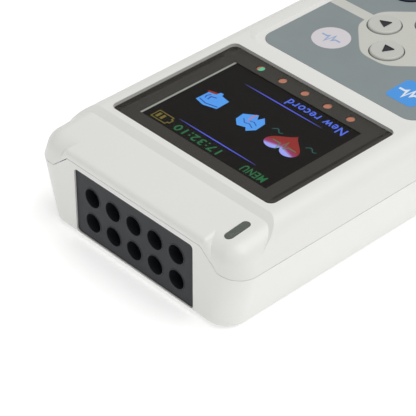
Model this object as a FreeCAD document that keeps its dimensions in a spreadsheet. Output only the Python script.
"""Handheld ambulatory ECG recorder with ten lead sockets, as a parametric assembly.

Frame: +X to the reader's right, +Y towards the lead sockets (the top of the display), +Z out of the
display.  The origin is at the middle of the back, on the surface that the recorder lies on.
Millimetres.
"""
import FreeCAD, Part
import math
import os
import re
import Sketcher

Vector = FreeCAD.Vector
doc = FreeCAD.newDocument("ecg_recorder")

# ---------------------------------------------------------------------------------- driving sizes

SIZES = {
    # case
    "body_length": 120.0,          # along Y
    "body_width": 68.0,            # at the seam, the widest place
    "base_width": 59.6,            # at the back
    "seam_height": 16.0,           # where the two cases meet
    "seam_gap": 0.12,
    "wall": 2.0,
    "floor_thick": 2.8,
    "corner_round": 5.5,           # the four upright corners
    "base_round": 1.8,             # edge round the back
    "deck_inset": 2.7,             # side wall leans in by this from the seam to the deck
    "end_inset": 1.0,              # the same at the two ends
    "shoulder_round": 5.0,         # roll between the deck and the walls
    "step_setback": 15.1,          # socket face back to the raised deck
    "step_run": 1.8,
    "end_drop": 2.5,               # the top at the socket face, below the deck
    "slope_rate": 0.093,           # rise of that top per mm away from the socket face
    "tongue_inset": 1.2,           # lip inside the seam
    "tongue_rise": 1.4,
    "tongue_gap": 0.15,
    # raised block over the lead sockets
    "block_top_width": 42.8,
    "block_foot_width": 55.6,
    "block_depth": 12.0,
    "block_edge_round": 1.4,
    "tab_height": 20.4,            # top of the back case's lip over the socket panel
    "tab_top_width": 44.0,
    "tab_foot_width": 54.5,
    # display window
    "window_width": 52.6,
    "window_length": 40.05,
    "window_setback": 16.97,       # socket face to the window's edge
    "window_thick": 0.8,
    "window_sink": 0.05,
    "window_round": 1.7,
    "window_gap": 0.1,
    "window_ledge": 1.6,
    "mask_thick": 0.1,
    "screen_width": 40.64,
    "screen_length": 30.48,
    "screen_setback": 36.53,       # socket face to the screen's middle
    "mask_margin": 0.1,            # mask's opening beyond the picture
    "strip_width": 0.6,            # white edge of the display frame, seen through the window
    "panel_thick": 1.3,
    "panel_border": 2.2,
    "frame_thick": 1.6,
    "frame_rim": 0.65,
    "frame_low_border": 1.0,
    "frame_high_border": 2.2,
    "frame_gap": 0.05,
    "frame_clear": 1.55,           # above the main board
    "cable_width": 16.0,
    "foil_thick": 0.2,
    # indicator lights
    "led_setback": 54.32,
    "led_pitch": 7.34,
    "led_radius": 1.0,
    "led_length": 1.6,
    "led_height": 0.6,
    "pill_x": 26.0,
    "pill_setback": 7.3,
    "pill_length": 6.8,
    "pill_width": 2.1,
    # keypad
    "keypad_drop": 1.6,            # overlay's face below the display deck
    "valley_margin": 1.8,          # valley's floor beyond the overlay
    "valley_lean": 1.4,            # and its rim beyond that
    "overlay_width": 50.8,
    "overlay_below_window": 7.2,
    "overlay_end_margin": 6.5,
    "overlay_round": 4.0,
    "overlay_thick": 0.4,
    "overlay_gap": 0.1,
    "keypad_wall": 1.6,
    "pad_below_window": 34.0,      # window's lower edge to the middle of the arrow keys
    "arrow_reach": 8.4,
    "arrow_radius": 4.2,
    "wide_key_x": 15.0,
    "wide_key_drop": 16.5,
    "wide_key_radius": 4.9,
    "key_gap": 0.3,
    "key_proud": 0.6,
    "key_edge": 0.5,
    "key_travel": 0.4,
    "key_clearance": 0.1,
    "key_flange": 0.8,
    "flange_thick": 0.5,
    "flange_gap": 0.2,
    "plunger_radius": 1.6,
    "switch_size": 4.6,
    "switch_height": 0.6,
    # lead sockets
    "socket_pitch": 7.0,
    "socket_radius": 2.45,
    "socket_mid_height": 9.85,
    "panel_width": 39.2,
    "panel_low": 1.4,
    "panel_high": 19.0,
    "panel_round": 1.0,
    "panel_sink": 0.4,
    "panel_depth": 2.4,
    "panel_gap": 0.1,
    "insulator_depth": 13.2,
    "insulator_blind": 2.0,
    "insulator_width": 38.0,
    "insulator_high": 18.0,
    "pin_radius": 0.75,
    "pin_reach": 10.0,
    "pin_tip": 0.4,
    "tail_radius": 0.5,
    "tail_reach": 3.9,
    "pcb_thick": 1.0,
    "pcb_hole_gap": 0.1,
    "front_end_width": 42.0,
    # cells and their bay
    "cell_diameter": 14.5,
    "cell_length": 50.5,
    "cell_nub_length": 1.0,
    "cell_nub_radius": 2.75,
    "cell_edge": 0.6,
    "cell_gap": 0.7,
    "cell_clearance": 0.4,
    "spring_length": 4.6,
    "spring_wire": 0.35,
    "spring_radius": 3.0,
    "spring_turns": 4.0,
    "contact_thick": 0.3,
    "contact_size": 11.0,
    "bay_slack": 0.3,
    "bay_wall": 1.2,
    "bay_roof": 1.0,
    "bay_margin": 7.0,             # end of the case to the bay
    # battery door
    "door_thick": 1.8,
    "door_gap": 0.15,
    "door_overlap": 1.7,
    "rail_width": 1.0,
    "rail_low": 0.7,
    "rail_thick": 0.9,
    "grip_count": 5.0,
    "grip_pitch": 2.4,
    "grip_width": 16.0,
    "grip_depth": 0.5,
    "grip_margin": 12.0,
    # fasteners
    "screw_x": 25.5,
    "screw_end_margin": 10.0,
    "screw_socket_margin": 14.5,
    "boss_radius": 3.0,
    "screw_radius": 1.25,
    "screw_head_radius": 2.1,
    "screw_head_height": 1.6,
    "screw_well": 10.0,
    "screw_gap": 0.05,
    "well_gap": 0.2,
    "screw_length": 10.5,
    "post_x": 27.0,
    "post_radius": 2.0,
    "board_screw_radius": 0.95,
    "board_screw_head": 1.9,
    "board_screw_head_height": 1.2,
    "board_screw_length": 3.2,
    # boards
    "board_lift": 0.4,
    "board_edge_gap": 2.6,
    "board_end_gap": 3.5,
    "chip_height": 1.4,
    "board_corner": 3.0,
    "side_board_height": 8.0,
    "side_board_clear": 0.55,
    "side_board_setback": 64.0,
    "side_board_length": 34.0,
    "side_board_gap": 0.4,
    # side port, card and cover
    "usb_setback": 72.0,
    "usb_width": 7.6,
    "usb_depth": 5.5,
    "usb_height": 2.7,
    "usb_inset": 0.4,
    "usb_shell": 0.35,
    "usb_opening_gap": 0.6,
    "link_setback": 7.0,
    "link_width": 7.0,
    "card_setback": 87.0,
    "card_width": 11.0,
    "card_length": 15.0,
    "card_thick": 0.8,
    "card_gap": 0.15,
    "card_shelf": 0.5,
    "holder_width": 14.0,
    "holder_height": 1.8,
    "cover_length": 13.0,
    "cover_low": 7.6,
    "cover_high": 13.4,
    "cover_thick": 1.2,
    "cover_gap": 0.15,
    "trunnion_radius": 0.6,
    "trunnion_gap": 0.05,
    "trunnion_reach": 1.0,
    # smaller things on the boards
    "can_width": 30.0,
    "can_length": 26.0,
    "can_depth": 4.5,
    "can_sheet": 0.3,
    "can_clear": 6.0,
    "header_width": 20.0,
    "header_depth": 3.0,
    "clock_cell_radius": 5.0,
    "clock_cell_height": 2.5,
    "clock_cell_gap": 1.5,
    "clip_width": 4.0,
    "clip_thick": 0.3,
    "buzzer_radius": 4.5,
    "buzzer_height": 3.0,
    # blank rating label on the back
    "label_width": 34.0,
    "label_length": 26.0,
    "label_above_door": 4.5,
    "label_thick": 0.2,
}

# Sizes that follow from the driving ones.
DERIVED = {
    "half_width": "body_width / 2",
    "half_length": "body_length / 2",
    "half_base": "base_width / 2",
    "flare": "(half_width - half_base) / seam_height",
    "cell_radius": "cell_diameter / 2",
    "cell_x": "cell_radius + cell_gap / 2",
    "cell_axis": "door_thick + cell_clearance + cell_radius",
    "bay_roof_low": "cell_axis + cell_radius + cell_clearance",
    "bay_top": "bay_roof_low + bay_roof",
    "bay_half": "cell_x + cell_radius + cell_clearance",
    "bay_length": "cell_length + spring_length + 2 * contact_thick + bay_slack",
    "bay_low_y": "bay_margin - half_length",
    "bay_high_y": "bay_low_y + bay_length",
    "board_low": "bay_top + board_lift",
    "board_high": "board_low + pcb_thick",
    "window_stack": "panel_thick + window_gap + mask_thick + window_thick + window_sink",
    "body_height": "board_high + frame_clear + frame_thick + window_stack",
    "crown_top": "2 * body_height - seam_height",
    "end_height": "body_height - end_drop",
    "step_fall": "(end_drop - slope_rate * (step_setback - step_run)) / step_run",
    "step_y": "half_length - step_setback",
    "upper_rim": "seam_height + seam_gap",
    "keypad_plane": "body_height - keypad_drop",
    "overlay_floor": "keypad_plane - overlay_thick",
    "keypad_roof": "overlay_floor - keypad_wall",
    "deck_roof": "body_height - wall",
    "window_high_y": "half_length - window_setback",
    "window_low_y": "window_high_y - window_length",
    "window_top": "body_height - window_sink",
    "window_bottom": "window_top - window_thick",
    "mask_bottom": "window_bottom - mask_thick",
    "screen_y": "half_length - screen_setback",
    "panel_top": "mask_bottom - window_gap",
    "panel_bottom": "panel_top - panel_thick",
    "frame_bottom": "panel_bottom - frame_thick",
    "led_y": "half_length - led_setback",
    "overlay_high_y": "window_low_y - overlay_below_window",
    "overlay_low_y": "overlay_end_margin - half_length",
    "pad_y": "window_low_y - pad_below_window",
    "wide_key_y": "pad_y - wide_key_drop",
    "switch_top": "board_high + switch_height",
    "key_bottom": "switch_top + key_clearance + key_travel",
    "flange_top": "keypad_roof - flange_gap",
    "door_half": "bay_half + door_overlap",
    "door_high_y": "bay_high_y + door_overlap",
    "panel_face_y": "half_length - panel_sink",
    "panel_back_y": "panel_face_y - panel_depth",
    "insulator_y": "panel_back_y - panel_gap",
    "insulator_back_y": "insulator_y - insulator_depth",
    "pin_foot_y": "insulator_back_y + insulator_blind",
    "front_end_y": "insulator_back_y - pcb_hole_gap",
    "side_board_top": "side_board_height + pcb_thick",
    "side_board_inner": "bay_half + bay_wall + side_board_clear",
    "side_board_edge_x": "half_base + flare * side_board_height - wall - side_board_gap",
    "side_high_y": "half_length - side_board_setback",
    "side_low_y": "side_high_y - side_board_length",
    "usb_y": "half_length - usb_setback",
    "usb_face_x": "half_base + flare * side_board_top - cover_thick - usb_inset",
    "card_y": "half_length - card_setback",
    "card_floor": "side_board_top + card_shelf",
    "card_face_x": "half_base + flare * card_floor - card_gap",
    "trunnion_z": "cover_low + trunnion_radius",
    "trunnion_x": "half_base + flare * trunnion_z - trunnion_radius",
    "screw_low_y": "screw_end_margin - half_length",
    "screw_high_y": "half_length - screw_socket_margin",
    "label_low_y": "door_high_y + label_above_door",
    "screen_low_y": "screen_y - screen_length / 2",
    "screen_high_y": "screen_y + screen_length / 2",
    "screen_half": "screen_width / 2 + mask_margin",
    "frame_half": "screen_width / 2 + panel_border + frame_rim",
    "frame_low_y": "screen_low_y - frame_low_border",
    "frame_high_y": "screen_high_y + frame_high_border",
    "board_half": "half_width - wall - board_edge_gap",
    "board_end_y": "half_length - board_end_gap",
    "can_high_y": "front_end_y - pcb_thick - can_clear",
    "clock_x": "-(bay_half + bay_wall + clock_cell_gap + clock_cell_radius)",
}


def make_sheet(name, cells, formula):
    """Fill a spreadsheet: a label, a value or a formula, and an alias on each row."""
    sheet = doc.addObject("Spreadsheet::Sheet", name)
    for row, (alias, content) in enumerate(cells.items(), start=1):
        sheet.set(f"A{row}", alias)
        sheet.set(f"B{row}", "=" + with_sheets(content) if formula else str(content))
        sheet.setAlias(f"B{row}", alias)
    doc.recompute()
    return sheet


def with_sheets(text):
    """Put its sheet's name in front of every size in an expression."""
    def prefix(match):
        word = match.group()
        if word in SIZES:
            return "Sizes." + word
        return "Derived." + word if word in DERIVED else word
    return re.sub(r"[a-z][a-z_]*", prefix, text)


make_sheet("Sizes", SIZES, formula=False)
make_sheet("Derived", DERIVED, formula=True)
probe = doc.addObject("App::FeaturePython", "Probe")
probe.addProperty("App::PropertyFloat", "Amount")


def amount(text):
    """The number that a size expression comes to."""
    probe.setExpression("Amount", with_sheets(text))
    probe.recompute()
    return probe.Amount


def bind(obj, **properties):
    """Tie properties to size expressions; Base_x stands for Placement.Base.x."""
    for name, text in properties.items():
        obj.setExpression(name.replace("Base_", "Placement.Base."), with_sheets(text))


# ------------------------------------------------------------------------------- building blocks

nodes = {}


def node(name, obj):
    """Register a finished piece under its node name."""
    obj.Label = name
    nodes[name] = obj
    return obj


def box(name, x, y, z):
    """A block between two expressions on each axis."""
    obj = doc.addObject("Part::Box", name)
    bind(obj, Base_x=x[0], Base_y=y[0], Base_z=z[0],
         Length=f"({x[1]}) - ({x[0]})", Width=f"({y[1]}) - ({y[0]})", Height=f"({z[1]}) - ({z[0]})")
    return obj


TURNS = {
    "x": FreeCAD.Rotation(Vector(0, 1, 0), 90),
    "y": FreeCAD.Rotation(Vector(1, 0, 0), -90),
    "back": FreeCAD.Rotation(Vector(1, 0, 0), 90),
    "z": FreeCAD.Rotation(),
}


def rod(name, axis, at, radius, span):
    """A cylinder along x, y or z; at gives the other two coordinates in order."""
    obj = doc.addObject("Part::Cylinder", name)
    obj.Placement.Rotation = TURNS[axis]
    place = list(at)
    place.insert("xyz".index(axis), span[0])
    bind(obj, Radius=radius, Height=f"({span[1]}) - ({span[0]})",
         Base_x=place[0], Base_y=place[1], Base_z=place[2])
    return obj


def fuse(name, *parts):
    obj = doc.addObject("Part::MultiFuse", name)
    obj.Shapes = list(parts)
    obj.Refine = True
    return obj


def cut(name, base, *tools):
    obj = doc.addObject("Part::Cut", name)
    obj.Base = base
    obj.Tool = tools[0] if len(tools) == 1 else fuse(name + "_tools", *tools)
    obj.Refine = True
    return obj


def common(name, first, second):
    obj = doc.addObject("Part::Common", name)
    obj.Base = first
    obj.Tool = second
    obj.Refine = True
    return obj


def group(name, *parts):
    """Several separate solids under one node."""
    obj = doc.addObject("Part::Compound", name)
    obj.Links = list(parts)
    return obj


def sketch_on(body, name, role, offset="0"):
    """A sketch on one of the body's origin planes, lifted along that plane's normal."""
    sketch = body.newObject("Sketcher::SketchObject", name)
    plane = [item for item in body.Origin.OriginFeatures if item.Role == role][0]
    sketch.AttachmentSupport = (plane, [""])
    sketch.MapMode = "FlatFace"
    sketch.setExpression("AttachmentOffset.Base.z", with_sheets(offset))
    return sketch


def drive(sketch, kind, *place, size):
    """Add one dimension to a sketch and tie it to a size expression."""
    index = sketch.addConstraint(Sketcher.Constraint(kind, *place, amount(size)))
    label = f"size_{index}"
    sketch.renameConstraint(index, label)
    sketch.setExpression("Constraints." + label, with_sheets(size))


def draw_rounded(sketch, x, y, radius):
    """A rounded rectangle between two expressions on each axis."""
    low_x, high_x, low_y, high_y, bend = [amount(text) for text in (*x, *y, radius)]
    first = sketch.GeometryCount

    def line(start, end):
        sketch.addGeometry(Part.LineSegment(Vector(*start, 0), Vector(*end, 0)), False)

    def corner(centre_x, centre_y, start):
        circle = Part.Circle(Vector(centre_x, centre_y, 0), Vector(0, 0, 1), bend)
        sketch.addGeometry(Part.ArcOfCircle(circle, start, start + math.pi / 2), False)

    line((low_x + bend, low_y), (high_x - bend, low_y))
    corner(high_x - bend, low_y + bend, -math.pi / 2)
    line((high_x, low_y + bend), (high_x, high_y - bend))
    corner(high_x - bend, high_y - bend, 0)
    line((high_x - bend, high_y), (low_x + bend, high_y))
    corner(low_x + bend, high_y - bend, math.pi / 2)
    line((low_x, high_y - bend), (low_x, low_y + bend))
    corner(low_x + bend, low_y + bend, math.pi)
    for step in range(8):
        follows = first + (step + 1) % 8
        sketch.addConstraint(Sketcher.Constraint("Tangent", first + step, 2, follows, 1))
    for step, kind in ((0, "Horizontal"), (4, "Horizontal"), (2, "Vertical"), (6, "Vertical")):
        sketch.addConstraint(Sketcher.Constraint(kind, first + step))
    for step in (3, 5, 7):
        sketch.addConstraint(Sketcher.Constraint("Equal", first + 1, first + step))
    drive(sketch, "Radius", first + 1, size=radius)
    drive(sketch, "DistanceY", first, 1, size=y[0])
    drive(sketch, "DistanceX", first + 2, 1, size=x[1])
    drive(sketch, "DistanceY", first + 4, 1, size=y[1])
    drive(sketch, "DistanceX", first + 6, 1, size=x[0])


def draw_polygon(sketch, points):
    """A closed outline whose corners are pairs of size expressions."""
    places = [(amount(across), amount(along)) for across, along in points]
    first, count = sketch.GeometryCount, len(points)
    for step in range(count):
        start, end = places[step], places[(step + 1) % count]
        sketch.addGeometry(Part.LineSegment(Vector(*start, 0), Vector(*end, 0)), False)
    for step, (across, along) in enumerate(points):
        follows = first + (step + 1) % count
        sketch.addConstraint(Sketcher.Constraint("Coincident", first + step, 2, follows, 1))
        drive(sketch, "DistanceX", first + step, 1, size=across)
        drive(sketch, "DistanceY", first + step, 1, size=along)


def prism(name, role, draw, start, end):
    """A PartDesign body: one outline on a plane, padded from start to end along its normal."""
    body = doc.addObject("PartDesign::Body", name)
    sketch = sketch_on(body, name + "_outline", role, start)
    draw(sketch)
    pad = body.newObject("PartDesign::Pad", name + "_pad")
    pad.Profile = sketch
    bind(pad, Length=f"({end}) - ({start})")
    doc.recompute()
    return body


def rounded_plate(name, x, y, radius, z):
    """A flat plate with rounded corners."""
    return prism(name, "XY_Plane", lambda sketch: draw_rounded(sketch, x, y, radius), *z)


def fillet(body, chosen, radius):
    """Round the edges of a body's last feature that pass a test."""
    doc.recompute()
    feature = body.Tip
    names = [f"Edge{index}" for index, edge in enumerate(feature.Shape.Edges, start=1)
             if chosen(edge.Vertexes)]
    rounded = body.newObject("PartDesign::Fillet", feature.Name + "_round")
    rounded.Base = (feature, names)
    bind(rounded, Radius=radius)
    doc.recompute()
    return body


def near(value, target):
    return abs(value - target) < 1e-4


# ----------------------------------------------------------------------------- outer case shapes

WIDE = ("-body_width", "body_width")


def middled(size):
    """The pair of expressions for a size centred on the origin."""
    return f"-({size})", f"({size})"


def cut_through(body, name, points):
    """Cut an outline in Y and Z right across a body."""
    sketch = sketch_on(body, name, "YZ_Plane")
    draw_polygon(sketch, points)
    pocket = body.newObject("PartDesign::Pocket", name + "_cut")
    pocket.Profile = sketch
    pocket.Type = "ThroughAll"
    pocket.Midplane = True
    doc.recompute()
    return body


def cut_above(body, name, height, rate):
    """Cut a body off above a plane: its height at the socket face, and its rise per mm from there."""
    return cut_through(body, name, (
        ("body_length", f"{height} - ({rate}) * half_length"),
        ("body_length", "4 * body_height"),
        ("-body_length", "4 * body_height"),
        ("-body_length", f"{height} + ({rate}) * 3 * half_length"),
    ))


def leaning_hull(name, low, high, corner):
    """A block whose four walls lean between two levels: (height, half width, half length) each."""
    low_z, low_x, low_y = low
    high_z, high_x, high_y = high
    body = prism(name, "XZ_Plane", lambda sketch: draw_polygon(sketch, (
        (f"-({low_x})", low_z), (low_x, low_z), (high_x, high_z), (f"-({high_x})", high_z),
    )), f"-({low_y})", low_y)
    if high_y != low_y:
        for way in ("1", "-1"):
            cut_through(body, f"{name}_end_{len(body.Group)}", (
                (f"{way} * ({low_y})", low_z), (f"{way} * body_length", low_z),
                (f"{way} * body_length", high_z), (f"{way} * ({high_y})", high_z)))
    return fillet(body, lambda ends: abs(ends[0].Z - ends[-1].Z) > 1, corner)


def crown(name, inset, height, rate, roll):
    """The front case's outer form moved in by inset, topped by a plane, its edge rolled."""
    body = leaning_hull(
        name, ("seam_height", f"half_width - {inset}", f"half_length - {inset}"),
        ("crown_top", f"half_width - 2 * deck_inset - {inset}", f"half_length - 2 * end_inset - {inset}"),
        f"corner_round - {inset}")
    cut_above(body, name + "_top", height, rate)
    level, rise, reach = amount(height), amount(rate), amount("half_length")
    return fillet(body, lambda ends: all(near(v.Z, level + rise * (reach - v.Y)) for v in ends), roll)


def tub(name, inset, low):
    """The back case's outer form moved in by inset, from a height up to the seam."""
    return leaning_hull(name, (low, f"half_base + flare * ({low}) - {inset}", f"half_length - {inset}"),
                        ("seam_height", f"half_width - {inset}", f"half_length - {inset}"),
                        f"corner_round - {inset}")


def socket_block():
    """The block over the lead sockets: its front stays upright where the case rolls away."""
    body = prism("block", "XZ_Plane", lambda sketch: draw_polygon(sketch, (
        ("-block_foot_width / 2", "seam_height"),
        ("block_foot_width / 2", "seam_height"),
        ("block_top_width / 2", "body_height"),
        ("-block_top_width / 2", "body_height"),
    )), "-half_length", "block_depth - half_length")
    cut_above(body, "block_top", "end_height", "slope_rate")
    front, low = amount("half_length"), amount("seam_height")

    def at_front_top(vertex):
        return near(vertex.Y, front) and not near(vertex.Z, low)
    return fillet(body, lambda ends: any(map(at_front_top, ends)), "block_edge_round")


def front_form():
    """The front case as one solid: raised deck, sloping end and socket block."""
    deck = common("deck", crown("deck_hull", "0", "body_height", "0", "shoulder_round"),
                  prism("deck_bounds", "YZ_Plane", lambda sketch: draw_polygon(sketch, (
                      ("-body_length", "0"),
                      ("step_y + body_height / step_fall", "0"),
                      ("step_y", "body_height"),
                      ("step_y", "2 * body_height"),
                      ("-body_length", "2 * body_height"),
                  )), *WIDE))
    end = common("end", crown("end_hull", "0", "end_height", "slope_rate", "shoulder_round"),
                 box("end_bounds", WIDE, ("step_y - wall", "body_length"), ("0", "2 * body_height")))
    return fuse("front_form", deck, end, socket_block())


def key_places():
    """Name, x and y of the middle, and radius of every key."""
    places = [(f"key_{name}", f"({dx}) * arrow_reach", f"pad_y + ({dy}) * arrow_reach",
               "arrow_radius")
              for name, dx, dy in (("up", 0, 1), ("down", 0, -1), ("left", -1, 0), ("right", 1, 0))]
    places += [(f"key_lower_{name}", f"({side}) * wide_key_x", "wide_key_y", "wide_key_radius")
               for name, side in (("left", -1), ("right", 1))]
    return places


def socket_places():
    """x and z of every lead socket, in two rows of five."""
    return [(f"({column}) * socket_pitch", f"socket_mid_height + ({row}) * socket_pitch / 2")
            for row in (1, -1) for column in range(-2, 3)]


LED_X = [f"({step}) * led_pitch" for step in range(-2, 3)]
SCREW_PLACES = [(f"({side}) * screw_x", y) for y in ("screw_low_y", "screw_high_y") for side in (-1, 1)]
POST_ROWS = ("pad_y - arrow_reach", "overlay_high_y")
SIDE_POSTS = [("side_board_inner + post_radius + screw_gap", y)
              for y in ("side_low_y + post_radius", "side_high_y - post_radius")]
POST_PLACES = [(f"({side}) * post_x", y) for y in POST_ROWS for side in (-1, 1)]


def pill(name, grow, low, high):
    """The status light's long rounded outline, grown all round."""
    half = f"(pill_width / 2 + {grow})"
    reach = f"(pill_length / 2 + {grow})"
    middle = "(half_length - pill_setback)"
    return rounded_plate(name, (f"-pill_x - {half}", f"-pill_x + {half}"),
                         (f"{middle} - {reach}", f"{middle} + {reach}"), f"{half} * 0.98", (low, high))


def tab_prism(name, grow, back):
    """The back case's lip over the socket panel, grown by grow, from back to beyond the face."""
    return prism(name, "XZ_Plane", lambda sketch: draw_polygon(sketch, (
        (f"-tab_foot_width / 2 - {grow}", "seam_height"),
        (f"tab_foot_width / 2 + {grow}", "seam_height"),
        (f"tab_top_width / 2 + {grow}", f"tab_height + {grow}"),
        (f"-tab_top_width / 2 - {grow}", f"tab_height + {grow}"),
    )), "-half_length - wall", f"-({back})")


def upright_panel(name, grow, front, back):
    """The socket panel's outline, grown all round, between two places along Y."""
    return prism(name, "XZ_Plane", lambda sketch: draw_rounded(
        sketch, middled(f"panel_width / 2 + {grow}"), (f"panel_low - {grow}", f"panel_high + {grow}"),
        "panel_round"), f"-({front})", f"-({back})")


def turned(name, axis, at, profile):
    """A body turned from (radius, height) corners, stood at a place along x, y, z or back."""
    body = doc.addObject("PartDesign::Body", name)
    sketch = sketch_on(body, name + "_profile", "XZ_Plane")
    draw_polygon(sketch, profile)
    turn = body.newObject("PartDesign::Revolution", name + "_turned")
    turn.Profile = sketch
    turn.ReferenceAxis = (sketch, ["V_Axis"])
    body.Placement.Rotation = TURNS[axis]
    bind(body, Base_x=at[0], Base_y=at[1], Base_z=at[2])
    doc.recompute()
    return body


# ------------------------------------------------------------------------------------ the cases

def make_upper_shell(form):
    window_x = middled("window_width / 2 + window_gap")
    window_y = ("window_low_y - window_gap", "window_high_y + window_gap")
    opening_x = middled("window_width / 2 - window_ledge")
    opening_y = ("window_low_y + window_ledge", "window_high_y - window_ledge")
    room = common("room", crown("room_keypad", "wall", "keypad_roof", "0", "shoulder_round - wall"),
                  crown("room_end", "wall", "end_height - wall", "slope_rate", "shoulder_round - wall"))
    valley = rounded_plate("valley", middled("overlay_width / 2 + valley_margin"),
                           ("overlay_low_y - valley_margin", "overlay_high_y + valley_margin"),
                           "overlay_round", ("keypad_plane", "body_height + keypad_drop"))
    bind(valley.Tip, TaperAngle="atan(valley_lean / keypad_drop)")
    tools = [
        room,
        box("room_display", middled("window_width / 2 + window_ledge"),
            ("window_low_y - window_gap", "step_y - window_gap"), ("keypad_roof - wall", "deck_roof")),
        box("below_seam", WIDE, middled("body_length"), ("0", "upper_rim")),
        rounded_plate("seam_rebate", middled("half_width - tongue_inset + tongue_gap"),
                      middled("half_length - tongue_inset + tongue_gap"),
                      "corner_round - tongue_inset + tongue_gap",
                      ("0", "seam_height + tongue_rise + tongue_gap")),
        tab_prism("tab_room", "seam_gap", "half_length - wall - seam_gap"),
        rounded_plate("window_seat", window_x, window_y, "window_round + window_gap",
                      ("mask_bottom", "body_height + wall")),
        rounded_plate("window_opening", opening_x, opening_y, "window_round",
                      ("keypad_roof", "body_height")),
        valley,
        rounded_plate("overlay_seat", middled("overlay_width / 2 + overlay_gap"),
                      ("overlay_low_y - overlay_gap", "overlay_high_y + overlay_gap"),
                      "overlay_round", ("overlay_floor", "body_height")),
        pill("pill_hole", "window_gap", "keypad_roof - wall", "2 * body_height"),
        upright_panel("panel_roof_room", "panel_gap", "half_length + wall", "insulator_y"),
    ]
    for name, x, y, radius in key_places():
        tools.append(rod(name + "_hole", "z", (x, y), f"{radius} + key_gap", ("board_high", "body_height")))
    hollow = cut("upper_hollow", form, *tools)
    posts = [rod(f"screw_post_{index}", "z", place, "boss_radius", ("upper_rim", "deck_roof"))
             for index, place in enumerate(SCREW_PLACES)]
    posts += [rod(f"board_post_{index}", "z", place, "post_radius", ("board_high", "overlay_floor"))
              for index, place in enumerate(POST_PLACES)]
    pilots = [rod(f"screw_pilot_{index}", "z", place, "screw_radius + screw_gap",
                  ("seam_height", "screw_well + screw_length + screw_gap"))
              for index, place in enumerate(SCREW_PLACES)]
    pilots += [rod(f"board_pilot_{index}", "z", place, "board_screw_radius + screw_gap",
                   ("board_low", "board_low + board_screw_length + screw_gap"))
               for index, place in enumerate(POST_PLACES)]
    inside = common("posts", fuse("all_posts", *posts), form)
    node("upper_shell", cut("upper_case", fuse("upper_solid", hollow, inside), *pilots))


def door_form(name, grow, outer):
    """The battery door's section, grown all round, inside the back case's outer form."""
    plate = box(name + "_plate", middled(f"door_half + {grow}"),
                ("-body_length", f"door_high_y + {grow}"), ("-wall", f"door_thick + {grow}"))
    rails = box(name + "_rails", middled(f"door_half + rail_width + {grow}"),
                ("-body_length", f"door_high_y + {grow}"),
                (f"rail_low - {grow}", f"rail_low + rail_thick + {grow}"))
    both = fuse(name + "_section", plate, rails)
    return common(name + "_form", outer, both) if outer else both


def cover_space(name, grow):
    """The side cover's block of space, grown all round."""
    half = "cover_length / 2"
    return box(name, ("0", "half_width + wall"), (f"usb_y - {half} - {grow}", f"usb_y + {half} + {grow}"),
               (f"trunnion_z - {grow}", f"cover_high + {grow}"))


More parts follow.
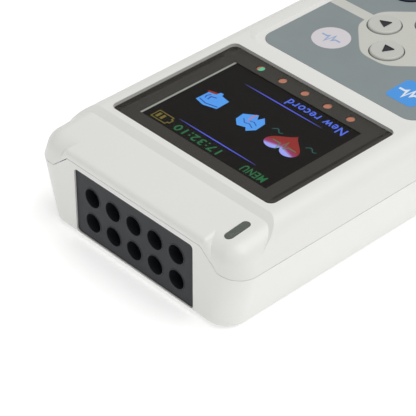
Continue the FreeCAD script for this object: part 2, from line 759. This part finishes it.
def make_lower_shell(form):
    outer = fillet(tub("back_hull", "0", "0"), lambda ends: all(near(v.Z, 0) for v in ends),
                   "base_round")
    walls = cut("back_walls", outer, tub("back_room", "wall", "floor_thick"))
    tongue = cut("tongue",
                 rounded_plate("tongue_outside", middled("half_width - tongue_inset"),
                               middled("half_length - tongue_inset"), "corner_round - tongue_inset",
                               ("seam_height - wall", "seam_height + tongue_rise")),
                 rounded_plate("tongue_inside", middled("half_width - wall - tongue_gap"),
                               middled("half_length - wall - tongue_gap"),
                               "corner_round - wall - tongue_gap",
                               ("seam_height - 2 * wall", "seam_height + wall")))
    tab = common("tab", form, tab_prism("tab_form", "0", "half_length - wall"))
    bay = box("bay_block", middled("bay_half + bay_wall"),
              ("bay_low_y - bay_wall", "bay_high_y + bay_wall"), ("floor_thick - wall / 4", "bay_top"))
    solids = [walls, common("tongue_inside_case", tongue, fuse("case_form", outer, form)), tab, bay]
    solids += [common(f"boss_{index}", outer,
                      rod(f"boss_rod_{index}", "z", place, "boss_radius", ("base_round", "seam_height")))
               for index, place in enumerate(SCREW_PLACES)]
    solids += [rod(f"side_post_{index}", "z", place, "post_radius",
                   ("floor_thick - wall / 4", "side_board_height"))
               for index, place in enumerate(SIDE_POSTS)]
    tools = [
        box("bay_room", middled("bay_half"), ("bay_low_y", "bay_high_y"), ("-wall", "bay_roof_low")),
        door_form("door_room", "door_gap", None),
        upright_panel("panel_room", "panel_gap", "half_length + wall", "insulator_y"),
        box("usb_opening", ("side_board_inner", "half_width + wall"),
            ("usb_y - usb_width / 2 - usb_opening_gap", "usb_y + usb_width / 2 + usb_opening_gap"),
            ("side_board_top - card_gap", "side_board_top + usb_height + usb_opening_gap")),
        box("card_opening", ("side_board_inner", "half_width + wall"),
            ("card_y - card_width / 2 - card_gap", "card_y + card_width / 2 + card_gap"),
            ("card_floor - card_gap", "card_floor + card_thick + card_gap")),
        cut("cover_seat", cover_space("cover_seat_space", "cover_gap"),
            tub("cover_seat_floor", "(cover_thick + cover_gap)", "0")),
        rod("cover_barrel_room", "y", ("trunnion_x", "trunnion_z"),
            "trunnion_radius + cover_gap", ("usb_y - cover_length / 2 - cover_gap",
                                            "usb_y + cover_length / 2 + cover_gap")),
        rod("trunnion_holes", "y", ("trunnion_x", "trunnion_z"), "trunnion_radius + trunnion_gap",
            ("usb_y - cover_length / 2 - 1.2 * trunnion_reach",
             "usb_y + cover_length / 2 + 1.2 * trunnion_reach")),
        rounded_plate("label_seat", middled("label_width / 2 + window_gap"),
                      ("label_low_y - window_gap", "label_low_y + label_length + window_gap"),
                      "window_round", ("-wall", "label_thick")),
    ]
    for index, place in enumerate(SCREW_PLACES):
        tools.append(rod(f"screw_hole_{index}", "z", place, "screw_radius + screw_gap",
                         ("0", "body_height")))
        tools.append(rod(f"screw_well_{index}", "z", place, "screw_head_radius + well_gap",
                         ("-wall", "screw_well")))
    for index, place in enumerate(SIDE_POSTS):
        tools.append(rod(f"side_pilot_{index}", "z", place, "board_screw_radius + screw_gap",
                         ("floor_thick", "body_height")))
    node("lower_shell", cut("lower_case", fuse("lower_solid", *solids), *tools))

    door = door_form("door", "0", outer)
    grips = [box(f"grip_{step}", middled("grip_width / 2"),
                 (f"grip_margin - half_length + {step} * grip_pitch",
                  f"grip_margin - half_length + ({step} + 0.5) * grip_pitch"),
                 ("-wall", "grip_depth")) for step in range(int(amount("grip_count")))]
    node("battery_door", cut("door_with_grip", door, *grips))

    flap = cut("cover_skin", common("cover_in_case", outer, cover_space("cover_block", "0")),
               tub("cover_back", "cover_thick", "0"))
    barrel = rod("cover_barrel", "y", ("trunnion_x", "trunnion_z"), "trunnion_radius",
                 ("usb_y - cover_length / 2 - trunnion_reach", "usb_y + cover_length / 2 + trunnion_reach"))
    node("port_cover", fuse("cover_solid", flap, barrel))


# ------------------------------------------------------------------------- display and its lights

def make_window():
    window_y = ("window_low_y", "window_high_y")
    window_x = middled("window_width / 2")
    node("display_window", rounded_plate("window_lens", window_x, window_y, "window_round",
                                         ("window_bottom", "window_top")))
    sheet = rounded_plate("mask_sheet", window_x, window_y, "window_round",
                          ("mask_bottom", "window_bottom"))
    openings = [box("mask_opening", ("-screen_half", "screen_half + strip_width"),
                    ("screen_low_y - mask_margin", "screen_high_y + mask_margin"),
                    ("panel_top", "body_height"))]
    openings += [rod(f"mask_hole_{index}", "z", (x, "led_y"), "led_radius + overlay_gap",
                     ("panel_top", "body_height")) for index, x in enumerate(LED_X)]
    node("window_mask", cut("mask_cut", sheet, *openings))


def make_display():
    tray = box("tray_block", middled("frame_half"), ("frame_low_y", "frame_high_y"),
               ("frame_bottom", "panel_top"))
    room = box("tray_room", ("-screen_width / 2 - panel_border", "screen_half + frame_gap"),
               ("frame_low_y + frame_rim", "frame_high_y - frame_rim"), ("panel_bottom", "body_height"))
    node("display_frame", cut("tray", tray, room))
    node("display_panel", box("panel_glass",
                              ("frame_gap - screen_width / 2 - panel_border", "screen_half"),
                              ("frame_low_y + frame_rim + frame_gap",
                               "frame_high_y - frame_rim - frame_gap"),
                              ("panel_bottom", "panel_top")))
    half = middled("cable_width / 2")
    drop = box("cable_drop", half, ("frame_high_y", "frame_high_y + foil_thick"),
               ("board_high + foil_thick", "panel_bottom"))
    run = box("cable_run", half, ("frame_high_y", "frame_high_y + header_depth"),
              ("board_high + foil_thick", "board_high + 2 * foil_thick"))
    node("display_cable", fuse("cable", drop, run))
    node("display_connector", box("connector", middled("cable_width / 2 + frame_rim"),
                                  ("frame_high_y + header_depth", "frame_high_y + 2 * header_depth"),
                                  ("board_high", "board_high + led_length")))


def make_lights():
    top = "board_high + led_height"
    chips = [box(f"led_{index}", (f"{x} - led_length / 2", f"{x} + led_length / 2"),
                 ("led_y - led_length / 4", "led_y + led_length / 4"), ("board_high", top))
             for index, x in enumerate(LED_X)]
    node("indicator_leds", group("led_group", *chips))
    pipes = [rod(f"light_pipe_{index}", "z", (x, "led_y"), "led_radius",
                 (top + " + key_clearance", "panel_top")) for index, x in enumerate(LED_X)]
    node("indicator_light_pipes", group("pipe_group", *pipes))


def make_status_light(form):
    low = "board_high + led_height + key_clearance"
    node("status_light_pipe", common("status_pipe", form, pill("pill_form", "0", low, "2 * body_height")))
    middle = "half_length - pill_setback"
    node("status_led", box("status_chip", ("-pill_x - led_length / 2", "-pill_x + led_length / 2"),
                           (f"{middle} - led_length / 2", f"{middle} + led_length / 2"),
                           ("board_high", "board_high + led_height")))


# ----------------------------------------------------------------------------------------- keypad

def make_keypad():
    sheet = rounded_plate("overlay_sheet", middled("overlay_width / 2"),
                          ("overlay_low_y", "overlay_high_y"), "overlay_round",
                          ("overlay_floor", "keypad_plane"))
    holes, switches = [], []
    for name, x, y, radius in key_places():
        holes.append(rod(name + "_window", "z", (x, y), f"{radius} + key_gap",
                         ("keypad_roof", "body_height")))
        half = "switch_size / 2"
        switches.append(box(name + "_switch", (f"{x} - {half}", f"{x} + {half}"),
                            (f"{y} - {half}", f"{y} + {half}"), ("board_high", "switch_top")))
        top = "keypad_plane + key_proud"
        cap = turned(name, "z", (x, y, "0"), (
            ("0", "key_bottom"), ("plunger_radius", "key_bottom"),
            ("plunger_radius", "flange_top - flange_thick"),
            (f"{radius} + key_flange", "flange_top - flange_thick"),
            (f"{radius} + key_flange", "flange_top"), (radius, "flange_top"),
            (radius, top), ("0", top)))
        height = amount(top)
        node(name, fillet(cap, lambda ends: all(near(v.Z, height) and abs(v.X) + abs(v.Y) > 1
                                                for v in ends), "key_edge"))
    node("keypad_overlay", cut("overlay", sheet, *holes))
    node("key_switches", group("switch_group", *switches))


# ---------------------------------------------------------------------------------- lead sockets

def make_sockets():
    places = socket_places()
    plate = upright_panel("socket_plate", "0", "panel_face_y", "panel_back_y")
    node("socket_panel", cut("socket_face", plate, *[
        rod(f"face_bore_{index}", "y", place, "socket_radius", ("insulator_y", "half_length"))
        for index, place in enumerate(places)]))

    block = box("insulator", middled("insulator_width / 2"), ("insulator_back_y", "insulator_y"),
                ("floor_thick + panel_gap", "insulator_high"))
    bores = [rod(f"bore_{index}", "y", place, "socket_radius", ("pin_foot_y", "half_length"))
             for index, place in enumerate(places)]
    bores += [rod(f"tail_bore_{index}", "y", place, "tail_radius", ("front_end_y", "half_length"))
              for index, place in enumerate(places)]
    node("socket_block", cut("socket_insulator", block, *bores))

    pins = []
    for index, (x, z) in enumerate(places):
        pins.append(turned(f"pin_{index}", "y", (x, "pin_foot_y", z), (
            ("0", "-tail_reach"), ("tail_radius", "-tail_reach"), ("tail_radius", "0"),
            ("pin_radius", "0"), ("pin_radius", "pin_reach - pin_tip"),
            ("pin_radius / 2", "pin_reach"), ("0", "pin_reach"))))
    node("lead_pins", group("pin_group", *pins))

    board = box("front_end_pcb", middled("front_end_width / 2"), ("front_end_y - pcb_thick", "front_end_y"),
                ("floor_thick + panel_gap", "insulator_high"))
    holes = [rod(f"pcb_hole_{index}", "y", place, "tail_radius + pcb_hole_gap",
                 ("front_end_y - wall", "half_length")) for index, place in enumerate(places)]
    node("front_end_board", cut("front_end", board, *holes))
    chip_x = [f"({step}) * socket_pitch * 1.5" for step in (-1, 0, 1)]
    chips = [box(f"amplifier_{index}", (f"{x} - plunger_radius * 2", f"{x} + plunger_radius * 2"),
                 ("front_end_y - pcb_thick - led_height * 2", "front_end_y - pcb_thick"),
                 ("socket_mid_height - plunger_radius", "socket_mid_height + plunger_radius"))
             for index, x in enumerate(chip_x)]
    node("amplifier_chips", group("amplifier_group", *chips))


# ----------------------------------------------------------------------------------------- boards

def make_main_board():
    plate = rounded_plate("main_pcb", middled("board_half"), middled("board_end_y"), "board_corner",
                          ("board_low", "board_high"))
    notches = [rod(f"notch_{index}", "z", place, "boss_radius + led_height", ("0", "body_height"))
               for index, place in enumerate(SCREW_PLACES)]
    notches += [rod(f"board_hole_{index}", "z", place, "board_screw_radius + screw_gap",
                    ("0", "body_height")) for index, place in enumerate(POST_PLACES)]
    node("main_board", cut("main_board_cut", plate, *notches))

    can_y = ("can_high_y - can_length", "can_high_y")
    shell = box("can_outside", middled("can_width / 2"), can_y, ("board_low - can_depth", "board_low"))
    inside = box("can_inside", middled("can_width / 2 - can_sheet"),
                 (can_y[0] + " + can_sheet", can_y[1] + " - can_sheet"),
                 ("board_low - can_depth + can_sheet", "body_height"))
    node("shield_can", cut("can", shell, inside))
    chip_z = ("board_low - chip_height", "board_low")
    middle = "can_high_y - can_length / 2"
    node("processor", box("processor_chip", ("-can_width / 2 + wall", "-wall / 2"),
                          (f"{middle} - 3 * wall", f"{middle} + 3 * wall"), chip_z))
    chips = [box(f"memory_{index}", ("wall / 2", "can_width / 2 - wall"),
                 (f"{middle} + ({side}) * 3 * wall - 2 * wall",
                  f"{middle} + ({side}) * 3 * wall + 2 * wall"), chip_z)
             for index, side in enumerate((-1, 1))]
    node("memory_chips", group("memory_group", *chips))
    node("board_header", box("header", middled("header_width / 2"),
                             ("front_end_y - pcb_thick - header_depth", "front_end_y - pcb_thick"),
                             ("board_low - header_depth", "board_low")))


def make_clock_cell_and_buzzer():
    y, low = "overlay_high_y - 2 * clock_cell_radius", "board_low - clock_cell_height"
    node("clock_cell", rod("clock_button_cell", "z", ("clock_x", y), "clock_cell_radius",
                           (low, "board_low")))
    x = ("clock_x - clip_width / 2", "clock_x + clip_width / 2")
    reach = "(clock_cell_radius + clip_thick)"
    strap = box("clip_strap", x, (f"{y} - {reach} - clip_thick", f"{y} + {reach} + clip_thick"),
                (f"{low} - clip_thick", low))
    legs = [box(f"clip_leg_{index}", x, (f"{y} + ({side}) * {reach} - ({drop}) * clip_thick",
                                         f"{y} + ({side}) * {reach} + (1 - {drop}) * clip_thick"),
                (low, "board_low")) for index, (side, drop) in enumerate(((-1, 1), (1, 0)))]
    node("clock_cell_clip", fuse("clip", strap, *legs))
    node("buzzer", rod("buzzer_can", "z", ("-clock_x", "led_y + 2 * buzzer_radius"), "buzzer_radius",
                       ("board_low - buzzer_height", "board_low")))


def make_side_board():
    plate = box("side_pcb", ("side_board_inner", "side_board_edge_x"), ("side_low_y", "side_high_y"),
                ("side_board_height", "side_board_top"))
    holes = [rod(f"side_hole_{index}", "z", place, "board_screw_radius + screw_gap", ("0", "body_height"))
             for index, place in enumerate(SIDE_POSTS)]
    node("side_board", cut("side_board_cut", plate, *holes))

    y = ("usb_y - usb_width / 2", "usb_y + usb_width / 2")
    top = "side_board_top + usb_height"
    shell = box("usb_shell_block", ("usb_face_x - usb_depth", "usb_face_x"), y, ("side_board_top", top))
    mouth = box("usb_mouth", ("usb_face_x - usb_depth + usb_shell", "usb_face_x + wall"),
                (y[0] + " + usb_shell", y[1] + " - usb_shell"),
                ("side_board_top + usb_shell", top + " - usb_shell"))
    blade = box("usb_blade", ("usb_face_x - usb_depth", "usb_face_x - 2 * usb_shell"),
                (y[0] + " + 4 * usb_shell", y[1] + " - 4 * usb_shell"),
                ("side_board_top + 3 * usb_shell", "side_board_top + 5 * usb_shell"))
    node("usb_socket", fuse("usb", cut("usb_can", shell, mouth), blade))

    holder = box("holder_block", ("side_board_inner", "side_board_edge_x"),
                 ("card_y - holder_width / 2", "card_y + holder_width / 2"),
                 ("side_board_top", "side_board_top + holder_height"))
    slot = box("holder_slot", ("0", "half_width"), ("card_y - card_width / 2 - card_gap",
                                                    "card_y + card_width / 2 + card_gap"),
               ("card_floor - card_gap", "card_floor + card_thick + card_gap"))
    node("card_socket", cut("card_holder", holder, slot))
    node("memory_card", box("card", ("card_face_x - card_length", "card_face_x"),
                            ("card_y - card_width / 2", "card_y + card_width / 2"),
                            ("card_floor", "card_floor + card_thick")))
    x, y = "side_board_inner + led_height", "side_high_y - link_setback"
    node("link_cable", box("link_strip", (x, x + " + foil_thick"), (y + " - link_width", y),
                           ("side_board_top", "board_low")))


# -------------------------------------------------------------------------------- cells and power

def make_cells():
    profile = (("0", "0"), ("cell_radius - cell_edge", "0"), ("cell_radius", "cell_edge"),
               ("cell_radius", "cell_length - cell_nub_length - cell_edge"),
               ("cell_radius - cell_edge", "cell_length - cell_nub_length"),
               ("cell_nub_radius", "cell_length - cell_nub_length"),
               ("cell_nub_radius", "cell_length"), ("0", "cell_length"))
    node("cell_left", turned("left_cell", "y", (
        "-cell_x", "bay_low_y + contact_thick + spring_length", "cell_axis"), profile))
    node("cell_right", turned("right_cell", "back", (
        "cell_x", "bay_high_y - contact_thick - spring_length", "cell_axis"), profile))
    half = "contact_size / 2"
    ends = {"near": ("bay_low_y", "bay_low_y + contact_thick"),
            "far": ("bay_high_y - contact_thick", "bay_high_y")}
    plates = [box(f"contact_{end}_{side + 1}", (f"({side}) * cell_x - {half}", f"({side}) * cell_x + {half}"),
                  y, (f"cell_axis - {half}", f"cell_axis + {half}"))
              for side in (-1, 1) for end, y in ends.items()]
    node("battery_contacts", group("contact_group", *plates))
    node("battery_springs", group("spring_group",
                                  spring("left_spring", "y", "-cell_x",
                                         "bay_low_y + contact_thick + spring_wire + screw_gap"),
                                  spring("right_spring", "back", "cell_x",
                                         "bay_high_y - contact_thick - spring_wire - screw_gap")))


def spring(name, axis, x, y):
    """A coil spring of round wire; y is the middle of its first turn's wire."""
    wire, radius = amount("spring_wire"), amount("spring_radius")
    height = amount("spring_length - 2 * spring_wire - 2 * screw_gap")
    helix = Part.makeHelix(height / amount("spring_turns"), height, radius)
    section = Part.Wire([Part.Circle(Vector(radius, 0, 0), Vector(0, 1, 0), wire).toShape()])
    coil = Part.Wire(helix.Edges).makePipeShell([section], True, True)
    obj = doc.addObject("Part::Feature", name)
    obj.Shape = coil
    obj.Placement.Rotation = TURNS[axis]
    bind(obj, Base_x=x, Base_y=y, Base_z="cell_axis")
    return obj


# -------------------------------------------------------------------------------------- fasteners

def make_screws():
    case_screws = []
    for index, place in enumerate(SCREW_PLACES):
        head = rod(f"head_{index}", "z", place, "screw_head_radius",
                   ("screw_well - screw_head_height", "screw_well"))
        shank = rod(f"shank_{index}", "z", place, "screw_radius",
                    ("screw_well", "screw_well + screw_length"))
        slots = [box(f"slot_{index}_{way}",
                     (f"{place[0]} - {across}", f"{place[0]} + {across}"),
                     (f"{place[1]} - {along}", f"{place[1]} + {along}"),
                     ("0", "screw_well - screw_head_height / 2"))
                 for way, (across, along) in enumerate((("foil_thick * 1.5", "screw_radius"),
                                                        ("screw_radius", "foil_thick * 1.5")))]
        case_screws.append(cut(f"case_screw_{index}",
                               fuse(f"case_screw_solid_{index}", head, shank), *slots))
    node("case_screws", group("case_screw_group", *case_screws))

    places = [(place, "board_low", -1, 1) for place in POST_PLACES]
    places += [(place, "side_board_top", 1, -1) for place in SIDE_POSTS]
    board_screws = []
    for index, (place, face, head_way, shank_way) in enumerate(places):
        head_z = [f"{face} - board_screw_head_height", face]
        shank_z = [face, f"{face} + board_screw_length - screw_gap"]
        if head_way > 0:
            head_z = [face, f"{face} + board_screw_head_height"]
            shank_z = [f"{face} - board_screw_length", face]
        board_screws.append(fuse(f"board_screw_{index}",
                                 rod(f"board_head_{index}", "z", place, "board_screw_head", head_z),
                                 rod(f"board_shank_{index}", "z", place, "board_screw_radius", shank_z)))
    node("board_screws", group("board_screw_group", *board_screws))


# --------------------------------------------------------------------------------------- assembly

def write_nodes():
    """Check every object, then write each piece to its own file."""
    doc.recompute()
    failed = [item.Name for item in doc.Objects if "Invalid" in item.State or "Error" in item.State]
    if failed:
        raise RuntimeError(f"objects failed to build: {failed}")
    os.makedirs("parts", exist_ok=True)
    for name, item in nodes.items():
        shape = item.Shape
        if shape.isNull() or not shape.isValid() or not shape.Solids:
            raise RuntimeError(f"{name} has no valid solid")
        shape.exportStep(f"parts/{name}.step")
        print(f"{name}: {len(shape.Solids)} solid(s), {shape.Volume:.1f} mm3")


form = front_form()
make_upper_shell(form)
make_lower_shell(form)
make_window()
make_display()
make_lights()
make_status_light(form)
make_keypad()
make_sockets()
make_main_board()
make_clock_cell_and_buzzer()
make_side_board()
make_cells()
make_screws()
node("rating_label", rounded_plate("label", middled("label_width / 2"),
                                   ("label_low_y", "label_low_y + label_length"), "window_round",
                                   ("screw_gap", "label_thick")))
write_nodes()
